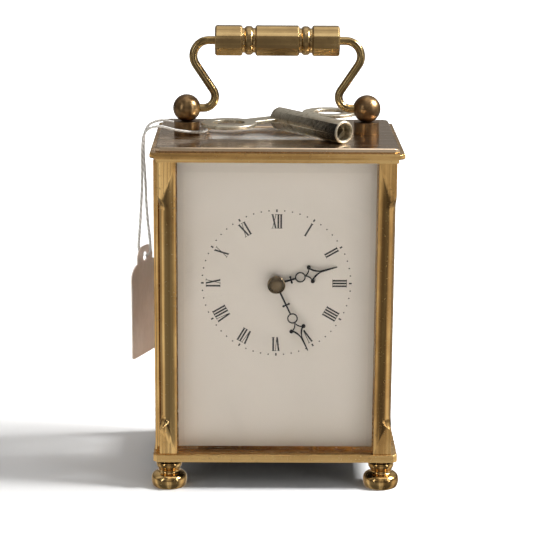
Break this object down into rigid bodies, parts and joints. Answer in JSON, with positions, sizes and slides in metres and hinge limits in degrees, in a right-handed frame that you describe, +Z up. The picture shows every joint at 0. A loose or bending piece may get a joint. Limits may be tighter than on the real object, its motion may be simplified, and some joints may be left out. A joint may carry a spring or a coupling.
{
  "type": "mantel clock",
  "caption": "Brass carriage clock: glazed case on turned feet, folding handle, rear door, enamel dial, wound spring movement, with its winding key, string and tag.",
  "frame": {"origin": "centre of the case's footprint on the surface it stands on", "axes": "+Z up, dial facing -Y, rear door on +Y, +X to the right seen from the front"},
  "size_m": [0.0902, 0.063, 0.1511],
  "materials": {
    "polished_brass": "polished lacquered brass with brown tarnish",
    "aged_brass": "tarnished bronze-brown brass",
    "movement_brass": "fine-grained gilt brass",
    "bevelled_glass": "clear bevelled glass",
    "dial_enamel": "cream enamel, satin",
    "blued_steel": "dark blued steel",
    "steel": "polished steel",
    "key_nickel": "dull nickel-plated steel",
    "string_cotton": "thin twisted cotton",
    "tag_card": "grey-pink card"
  },
  "bodies": {
    "case": {"feet": "polished_brass", "base_plate": "polished_brass", "front_left_post": "polished_brass", "front_right_post": "polished_brass", "rear_left_post": "polished_brass", "rear_right_post": "polished_brass", "cornice": "polished_brass", "top_plate": "polished_brass", "handle_pillars": "polished_brass", "pillar_nuts": "polished_brass", "left_side_frame": "polished_brass", "movement_front_plate": "movement_brass", "movement_back_plate": "movement_brass", "movement_pillars": "movement_brass", "platform": "movement_brass", "balance_cock": "movement_brass", "dial_feet": "movement_brass", "top_glass": "bevelled_glass", "front_glass": "bevelled_glass", "left_glass": "bevelled_glass", "right_glass": "bevelled_glass", "dial_plate": "dial_enamel", "click_spring": "blued_steel", "post_screws": "blued_steel", "platform_screws": "blued_steel", "movement_screws": "blued_steel", "minute_stud": "steel", "lever_bridge": "steel", "string": "string_cotton", "tag": "tag_card"},
    "handle": {"left_handle_arm": "aged_brass", "right_handle_arm": "aged_brass", "handle_grip": "aged_brass"},
    "door": {"door_frame": "polished_brass", "door_glass": "bevelled_glass", "door_knob": "polished_brass", "door_hinge_pins": "polished_brass"},
    "key": {"key_pipe": "key_nickel", "key_wing": "key_nickel"},
    "minute_group": {"centre_arbor": "steel", "cannon_pinion": "steel", "minute_hand": "blued_steel", "hand_boss": "polished_brass"},
    "hour_group": {"hour_wheel": "movement_brass", "hour_hand": "blued_steel"},
    "minute_wheel": {"minute_wheel": "movement_brass"},
    "centre_wheel": {"centre_wheel": "movement_brass"},
    "third_wheel": {"third_wheel": "movement_brass"},
    "contrate_wheel": {"contrate_wheel": "movement_brass"},
    "escape_wheel": {"escape_wheel": "steel"},
    "barrel": {"barrel": "movement_brass", "barrel_cover": "movement_brass", "mainspring": "blued_steel"},
    "winding_arbor": {"barrel_arbor": "steel", "ratchet_wheel": "steel"},
    "click": {"click": "steel"},
    "lever": {"lever": "steel"},
    "balance": {"balance_wheel": "movement_brass", "hairspring": "blued_steel"},
    "regulator": {"regulator": "blued_steel"}
  },
  "joints": [
    {"name": "handle_fold", "type": "hinge", "parent": "case", "child": "handle", "pos_m": [0, 0, 0.12365], "axis": [1, 0, 0], "range_deg": [-75, 75]},
    {"name": "door_swing", "type": "hinge", "parent": "case", "child": "door", "pos_m": [0.0309, 0.0269, 0.06], "axis": [0, 0, -1], "range_deg": [0, 92]},
    {"name": "key_slide", "type": "slide", "parent": "case", "child": "key", "axis": [-0.1483, -0.9889, 0], "range_m": [0, 0.08]},
    {"name": "minute_turn", "type": "hinge", "parent": "case", "child": "minute_group", "pos_m": [0, -0.02, 0.0695], "axis": [0, 1, 0], "continuous": true},
    {"name": "hour_turn", "type": "hinge", "parent": "case", "child": "hour_group", "pos_m": [0, -0.022, 0.0695], "axis": [0, 1, 0], "continuous": true},
    {"name": "minute_wheel_turn", "type": "hinge", "parent": "case", "child": "minute_wheel", "pos_m": [-0.00791, -0.02, 0.06396], "axis": [0, 1, 0], "continuous": true},
    {"name": "contrate_turn", "type": "hinge", "parent": "case", "child": "contrate_wheel", "pos_m": [-0.00329, -0.002, 0.08472], "axis": [0, 1, 0], "continuous": true},
    {"name": "third_turn", "type": "hinge", "parent": "case", "child": "third_wheel", "pos_m": [-0.01174, -0.002, 0.07627], "axis": [0, 1, 0], "continuous": true},
    {"name": "centre_turn", "type": "hinge", "parent": "case", "child": "centre_wheel", "pos_m": [0, -0.002, 0.0695], "axis": [0, 1, 0], "continuous": true},
    {"name": "barrel_turn", "type": "hinge", "parent": "case", "child": "barrel", "pos_m": [0, -0.002, 0.05055], "axis": [0, 1, 0], "continuous": true},
    {"name": "escape_turn", "type": "hinge", "parent": "case", "child": "escape_wheel", "pos_m": [-0.00329, 0.00135, 0.099], "axis": [0, 0, 1], "continuous": true},
    {"name": "lever_rock", "type": "hinge", "parent": "case", "child": "lever", "pos_m": [0.00002, -0.00354, 0.099], "axis": [0, 0, 1], "range_deg": [-4, 4]},
    {"name": "balance_swing", "type": "hinge", "parent": "case", "child": "balance", "pos_m": [0.00292, -0.00785, 0.103], "axis": [0, 0, 1], "range_deg": [-220, 220], "stiffness_Nm_per_rad": 0.0000004},
    {"name": "regulator_set", "type": "hinge", "parent": "case", "child": "regulator", "pos_m": [0.00292, -0.00785, 0.107], "axis": [0, 0, 1], "range_deg": [-20, 20]},
    {"name": "winding_turn", "type": "hinge", "parent": "case", "child": "winding_arbor", "pos_m": [0, 0.005, 0.05055], "axis": [0, 1, 0], "continuous": true},
    {"name": "click_rock", "type": "hinge", "parent": "case", "child": "click", "pos_m": [0.00592, 0.01, 0.06168], "axis": [0, 1, 0], "range_deg": [0, 6]}
  ],
  "couplings": [
    {"joint": "hour_turn", "follows": "minute_turn", "ratio": 0.083333},
    {"joint": "minute_wheel_turn", "follows": "minute_turn", "ratio": -0.33333},
    {"joint": "third_turn", "follows": "contrate_turn", "ratio": -0.13333},
    {"joint": "centre_turn", "follows": "contrate_turn", "ratio": 0.016667},
    {"joint": "barrel_turn", "follows": "contrate_turn", "ratio": -0.0020833},
    {"joint": "escape_turn", "follows": "contrate_turn", "ratio": 7}
  ]
}
